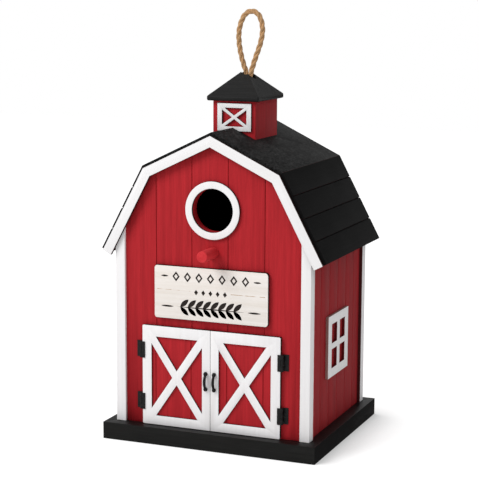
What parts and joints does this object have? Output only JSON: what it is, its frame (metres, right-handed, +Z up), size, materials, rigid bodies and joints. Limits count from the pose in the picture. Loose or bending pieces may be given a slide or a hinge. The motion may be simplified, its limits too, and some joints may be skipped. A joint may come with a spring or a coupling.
{
  "type": "birdhouse",
  "caption": "Hanging barn-shaped birdhouse with a gambrel roof, a cupola with a rope loop, a round entrance over a perch, side windows and hinged clean-out doors.",
  "frame": {"origin": "middle of the base's underside", "axes": "+X to the viewer's right of the entrance side, +Y to the back, +Z up; the entrance faces -Y"},
  "size_m": [0.2094, 0.1825, 0.3802],
  "materials": {
    "red_paint": "satin red paint over grooved wood",
    "white_paint": "satin white paint",
    "black_paint": "satin black paint",
    "roof_black": "matte charcoal paint with a fine grain",
    "cream_paint": "matte cream paint with plank lines",
    "black_metal": "black enamel",
    "steel": "plain zinc",
    "jute": "twisted natural fibre"
  },
  "bodies": {
    "house": {"back_wall": "red_paint", "base": "black_paint", "base_screws": "steel", "corner_post_back_left": "white_paint", "corner_post_back_right": "white_paint", "corner_post_front_left": "white_paint", "corner_post_front_right": "white_paint", "cupola_block": "red_paint", "cupola_cross_frame": "white_paint", "cupola_roof": "roof_black", "door_magnets": "steel", "entrance_ring": "white_paint", "front_wall": "red_paint", "hanging_rope": "jute", "hinge_pins": "steel", "hinge_wall_leaf_lower_left": "black_metal", "hinge_wall_leaf_lower_right": "black_metal", "hinge_wall_leaf_upper_left": "black_metal", "hinge_wall_leaf_upper_right": "black_metal", "left_wall": "red_paint", "perch": "red_paint", "rake_trim_back_lower_left": "white_paint", "rake_trim_back_lower_right": "white_paint", "rake_trim_back_upper_left": "white_paint", "rake_trim_back_upper_right": "white_paint", "rake_trim_front_lower_left": "white_paint", "rake_trim_front_lower_right": "white_paint", "rake_trim_front_upper_left": "white_paint", "rake_trim_front_upper_right": "white_paint", "ridge_board_left": "roof_black", "ridge_board_right": "roof_black", "right_wall": "red_paint", "roof_course_left_1": "roof_black", "roof_course_left_2": "roof_black", "roof_course_left_3": "roof_black", "roof_course_left_4": "roof_black", "roof_course_right_1": "roof_black", "roof_course_right_2": "roof_black", "roof_course_right_3": "roof_black", "roof_course_right_4": "roof_black", "rope_knot": "jute", "sign_board": "cream_paint", "window_frame_left": "white_paint", "window_frame_right": "white_paint"},
    "left_door": {"hinge_door_leaf_lower_left": "black_metal", "hinge_door_leaf_upper_left": "black_metal", "left_door_frame": "white_paint", "left_door_panel": "red_paint", "left_door_pull": "black_metal", "left_strike_plate": "steel"},
    "right_door": {"hinge_door_leaf_lower_right": "black_metal", "hinge_door_leaf_upper_right": "black_metal", "right_door_frame": "white_paint", "right_door_panel": "red_paint", "right_door_pull": "black_metal", "right_strike_plate": "steel"}
  },
  "joints": [
    {"name": "left_door_hinge", "type": "hinge", "parent": "house", "child": "left_door", "pos_m": [-0.0664, -0.076, 0.0604], "axis": [0, 0, -1], "range_deg": [0, 150]},
    {"name": "right_door_hinge", "type": "hinge", "parent": "house", "child": "right_door", "pos_m": [0.0664, -0.076, 0.0604], "axis": [0, 0, 1], "range_deg": [0, 150]}
  ]
}
